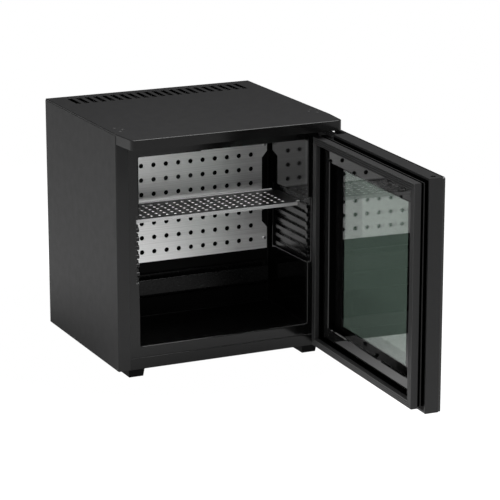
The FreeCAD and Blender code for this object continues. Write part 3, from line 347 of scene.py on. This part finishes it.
def seal_rubber(name, colour, pitch):
    """Soft seal rubber: fine lines along its length, and painted shade that makes it black and dull in its
    grooves and on its inner wall.
    """
    g = Look(name)
    side, height, through = g.door_axes()
    inset = g.past(side, height, DOOR_HALF)
    rows = g.calc("SINE", g.times(inset, 2.0 * math.pi / pitch))
    fine = g.noise(scale=1500.0, detail=2.0)
    lip = g.calc("COMPARE", through, SEAL_LIP, SEAL_LIP_HALF)
    raised = g.most(lip, g.above(through, SEAL_BULB))
    open_side = g.most(g.above(inset, -SEAL_INNER), g.above(through, SEAL_SHADE))
    # Only the lip and the bulb, outside the inner wall, keep their colour; the rest is painted shade.
    outside_painted_shade = g.times(raised, open_side)
    strength = g.times(outside_painted_shade, g.remap(rows, low=0.6, high=1.4, span=SINE))
    shine = g.remap(outside_painted_shade, low=0.02, high=0.4, span=SWITCH)
    grain = g.bump(fine, distance=0.00003, strength=0.3)
    return g.surface(
        Base_Color=g.tint(strength, BLACK, colour),
        Roughness=g.remap(fine, low=0.42, high=0.55),
        Specular_IOR_Level=g.times(shine, g.remap(rows, low=0.65, high=1.2, span=SINE)),
        Normal=g.bump(rows, distance=0.0004, strength=0.9, normal=grain),
    )


def door_plastic(name, colour, roughness):
    """Satin black plastic, with painted shade that makes the back of the frame dull black from its rim to
    the seal.
    """
    g = Look(name)
    side, height, through = g.door_axes()
    rim = g.above(g.past(side, height, DOOR_HALF), -FRAME_RIM)
    # The rim and the frame's sides keep their colour; the rest of the frame's back is painted shade.
    outside_painted_shade = g.most(rim, g.below(through, FRAME_BACK))
    fine = g.noise(scale=1000.0, detail=2.0)
    return g.surface(
        Base_Color=g.tint(outside_painted_shade, BLACK, colour),
        Roughness=g.uneven(roughness),
        Specular_IOR_Level=g.remap(outside_painted_shade, low=0.02, high=0.25, span=SWITCH),
        Normal=g.bump(fine, distance=0.00003, strength=0.35),
    )


def trim_plastic(name, colour, roughness):
    """Glossy black plastic, with painted shade that makes the walls round the glass black and dull."""
    g = Look(name)
    side, height, _ = g.door_axes()
    # Inside the trim's inner edge the walls are painted shade.
    outside_painted_shade = g.above(g.past(side, height, DOOR_HALF), -TRIM_INNER)
    slow = g.noise(scale=18.0, detail=1.0)
    return g.surface(
        Base_Color=g.tint(outside_painted_shade, BLACK, colour),
        Roughness=g.varied(slow, roughness, low=0.8, high=1.3),
        Specular_IOR_Level=g.remap(outside_painted_shade, low=0.04, high=0.5, span=SWITCH),
        Normal=g.bump(slow, distance=0.0001, strength=0.1),
    )


def bordered_glass(name, clear, border, half):
    """A glass pane with an opaque black border printed round its clear middle."""
    g = Look(name)
    side, height, _ = g.door_axes()
    printed = g.above(g.past(side, height, half), 0.0)
    smear = g.noise(scale=11.0, detail=3.0)
    return g.surface(
        Base_Color=g.tint(printed, clear, border),
        Roughness=g.remap(smear, low=0.0, high=0.012),
        IOR=GLASS_IOR,
        Transmission_Weight=g.calc("SUBTRACT", 1.0, printed),
    )


def finish(members, material):
    """Gives one material to the named nodes."""
    for name in members:
        slots = nodes[name].data.materials
        slots.clear()
        slots.append(material)


def finish_cabinet():
    finish(["left_side_panel", "right_side_panel"],
           coated("side_paint", (0.012, 0.012, 0.0122), roughness=0.5, grain=750.0, depth=0.00005,
                  variation=0.04, specular=0.18))
    finish(["top_cover"],
           satin("cover_paint", (0.008, 0.008, 0.0082), shaded_front_colour=(0.002, 0.002, 0.002), roughness=0.4,
                 front_roughness=0.15, specular=0.3, rounding=HOOD_ROUND))
    finish(["cover_plugs"],
           coated("plug_plastic", (0.03, 0.03, 0.0305), roughness=0.35, grain=900.0, depth=0.00002))
    finish(["front_header", "base_pan"],
           satin("band_paint", (0.007, 0.007, 0.0072), shaded_front_colour=(0.002, 0.002, 0.002), roughness=0.36,
                 front_roughness=0.16, specular=0.27, rounding=BAND_ROUND))
    finish(["rear_rail"],
           coated("rail_paint", (0.006, 0.006, 0.0061), roughness=0.55, grain=800.0, depth=0.00004,
                  specular=0.15))
    finish(["foot_front_left", "foot_front_right", "foot_rear_left", "foot_rear_right", "cord_gland",
            "drip_cup"],
           coated("foot_rubber", (0.003, 0.003, 0.003), roughness=0.5, grain=1200.0, depth=0.00005,
                  specular=0.05))
    finish(["top_hinge_bracket", "bottom_hinge_bracket", "control_box"],
           coated("hinge_paint", (0.02, 0.02, 0.0205), roughness=0.4, grain=900.0, depth=0.00003,
                  specular=0.6))
    finish(["plate_screws", "hinge_screws"],
           brushed("bright_steel", (0.66, 0.66, 0.67), roughness=0.26, scale=(300.0, 300.0, 300.0)))
    finish(["top_hinge_pin", "bottom_hinge_pin"],
           brushed("pin_steel", (0.16, 0.16, 0.16), roughness=0.35, scale=(300.0, 300.0, 300.0)))


def finish_compartment():
    finish(["inner_liner"],
           liner_plastic("liner_gloss", (0.0008, 0.0008, 0.0008), flange_colour=(0.002, 0.002, 0.002)))
    finish(["drip_gutter", "lamp_housing"],
           polished("gutter_gloss", (0.001, 0.001, 0.001), roughness=0.25, wave=20.0, depth=0.0003,
                    specular=0.15))
    finish(["left_shelf_rack", "right_shelf_rack"],
           polished("rack_gloss", (0.0015, 0.0015, 0.0016), roughness=0.22, wave=30.0, depth=0.0003,
                    specular=0.3))
    finish(["cooling_plate"],
           brushed("plate_metal", (0.95, 0.95, 0.945), roughness=0.38, scale=(6.0, 60.0, 900.0)))
    finish(["shelf"],
           shelf_metal("shelf_metal", highlight_edge_colour=(0.9, 0.9, 0.9), lip_colour=(0.4, 0.4, 0.4),
                       shaded_flat_colour=(0.028, 0.028, 0.028), roughness=0.3))
    finish(["plate_spacers"],
           coated("nylon", (0.5, 0.5, 0.48), roughness=0.45, grain=900.0, depth=0.00003))
    finish(["lamp_lens", "drain_hose"],
           coated("milky", (0.62, 0.62, 0.6), roughness=0.35, grain=600.0, depth=0.00002))


def finish_cooling_unit():
    finish(["cold_block"],
           coated("dull_aluminium", (0.012, 0.012, 0.012), roughness=0.7, grain=400.0, depth=0.00008,
                  specular=0.1))
    finish(["foam_back_sheet", "unit_brackets"],
           brushed("zinc", (0.3, 0.3, 0.31), roughness=0.42, scale=(60.0, 60.0, 60.0)))
    finish(["absorber_coil", "absorber_vessel", "liquid_pipe", "boiler_riser", "evaporator_tube",
            "condenser_tube", "condenser_fins"],
           coated("unit_paint", (0.01, 0.01, 0.01), roughness=0.5, grain=500.0, depth=0.00006,
                  specular=0.4))
    finish(["boiler_jacket"],
           brushed("jacket_steel", (0.4, 0.41, 0.42), roughness=0.36, scale=(300.0, 300.0, 6.0)))
    finish(["insulation_foam", "evaporator_plug"],
           coated("foam", (0.6, 0.52, 0.3), roughness=0.8, grain=400.0, depth=0.0003))


def finish_door():
    finish(["door_frame"],
           door_plastic("door_plastic", (0.008, 0.008, 0.0082), roughness=0.42))
    finish(["door_trim"],
           trim_plastic("trim_gloss", (0.002, 0.002, 0.002), roughness=0.02))
    finish(["door_gasket", "gasket_magnet"],
           seal_rubber("seal_rubber", (0.012, 0.012, 0.0122), pitch=0.0034))
    finish(["glass_spacer", "hinge_hole_plugs"],
           coated("spacer_black", (0.002, 0.002, 0.002), roughness=0.5, grain=1000.0, depth=0.00003,
                  specular=0.1))
    finish(["top_hinge_bush", "bottom_hinge_bush"],
           coated("black_nylon", (0.01, 0.01, 0.0102), roughness=0.45, grain=900.0, depth=0.00003))
    finish(["outer_glass"],
           bordered_glass("outer_pane", clear=(0.068, 0.09, 0.077), border=(0.003, 0.003, 0.003),
                          half=OUTER_CLEAR))
    finish(["inner_glass"],
           bordered_glass("inner_pane", clear=(0.86, 0.92, 0.88), border=(0.002, 0.002, 0.002),
                          half=INNER_CLEAR))


def soften(name, width):
    """Rounds the sharp edges of a node a little, so that they catch the light."""
    edge = nodes[name].modifiers.new("edge", "BEVEL")
    edge.width = width
    edge.segments = SOFT_SEGMENTS
    edge.limit_method = "ANGLE"
    edge.angle_limit = SOFT_ANGLE
    edge.harden_normals = True


def add_object(name, data):
    """Puts a new object into the scene."""
    made = bpy.data.objects.new(name, data)
    bpy.context.scene.collection.objects.link(made)
    return made


def turn(ahead):
    """The rotation of a camera or a light that looks along a direction."""
    return ahead.to_track_quat("-Z", "Y").to_euler()


def add_camera():
    data = bpy.data.cameras.new("camera")
    data.lens = CAMERA_LENS
    data.sensor_width = SENSOR
    data.sensor_fit = "HORIZONTAL"
    camera = add_object("camera", data)
    yaw = math.radians(CAMERA_YAW)
    pitch = math.radians(CAMERA_PITCH)
    level = math.cos(pitch)
    camera.location = CAMERA_PLACE
    camera.rotation_euler = turn(Vector((math.sin(yaw) * level, math.cos(yaw) * level, -math.sin(pitch))))
    bpy.context.scene.camera = camera


def add_floor():
    """A pale floor: white to the camera and through glass, and glowing in reflections, dimmer close by as a
    painted shadow and dimmer far off as a painted falloff of light.
    """
    mesh = bpy.data.meshes.new("floor")
    corners = [(-1, -1), (1, -1), (1, 1), (-1, 1)]
    mesh.from_pydata([(x * FLOOR_REACH, y * FLOOR_REACH, 0.0) for x, y in corners], [], [(0, 1, 2, 3)])
    floor = add_object("floor", mesh)
    g = Look("floor")
    path = g.add("ShaderNodeLightPath").outputs
    through = g.most(path["Is Camera Ray"], path["Is Transmission Ray"])
    seen = g.most(through, path["Is Glossy Ray"])
    # Painted shadow near the cabinet and painted falloff far off, seen only in reflections.
    away = g.vector("DISTANCE", g.place, FLOOR_SHADE)
    rising = g.remap(away, FLOOR_SHADED, FLOOR_BRIGHTEST, span=FLOOR_RISE)
    falling = g.remap(away, FLOOR_BRIGHTEST, FLOOR_FAINTEST, span=FLOOR_FALL)
    strength = g.most(through, g.calc("MINIMUM", rising, falling))
    pale = g.add("ShaderNodeBsdfDiffuse", {"Color": FLOOR_COLOUR}).outputs["BSDF"]
    white = g.add("ShaderNodeEmission", {"Color": WHITE, "Strength": strength}).outputs["Emission"]
    g.add("ShaderNodeOutputMaterial", {"Surface": g.mixed_shader(seen, pale, white)})
    mesh.materials.append(g.material)


def add_world():
    """A world that is white to the camera and through glass, and glows faintly for other rays."""
    world = bpy.data.worlds.new("studio")
    g = Graph(world)
    path = g.add("ShaderNodeLightPath").outputs
    seen = g.most(path["Is Camera Ray"], path["Is Transmission Ray"])
    glow = g.add("ShaderNodeBackground", {"Color": WHITE, "Strength": WORLD_GLOW}).outputs["Background"]
    white = g.add("ShaderNodeBackground", {"Color": WHITE, "Strength": 1.0}).outputs["Background"]
    g.add("ShaderNodeOutputWorld", {"Surface": g.mixed_shader(seen, glow, white)})
    bpy.context.scene.world = world


def add_light(name, place, size, power):
    data = bpy.data.lights.new(name, "AREA")
    data.shape = "RECTANGLE"
    data.size, data.size_y = size
    data.energy = power
    lamp = add_object(name, data)
    lamp.location = place
    lamp.rotation_euler = turn(LIGHT_TARGET - Vector(place))


finish_cabinet()
finish_compartment()
finish_cooling_unit()
finish_door()
for name, width in SOFT_EDGES.items():
    soften(name, width)
add_camera()
add_floor()
add_world()
for name, (place, size, power) in SOFTBOXES.items():
    add_light(name, place, size, power)
bpy.context.scene.view_settings.view_transform = "Standard"
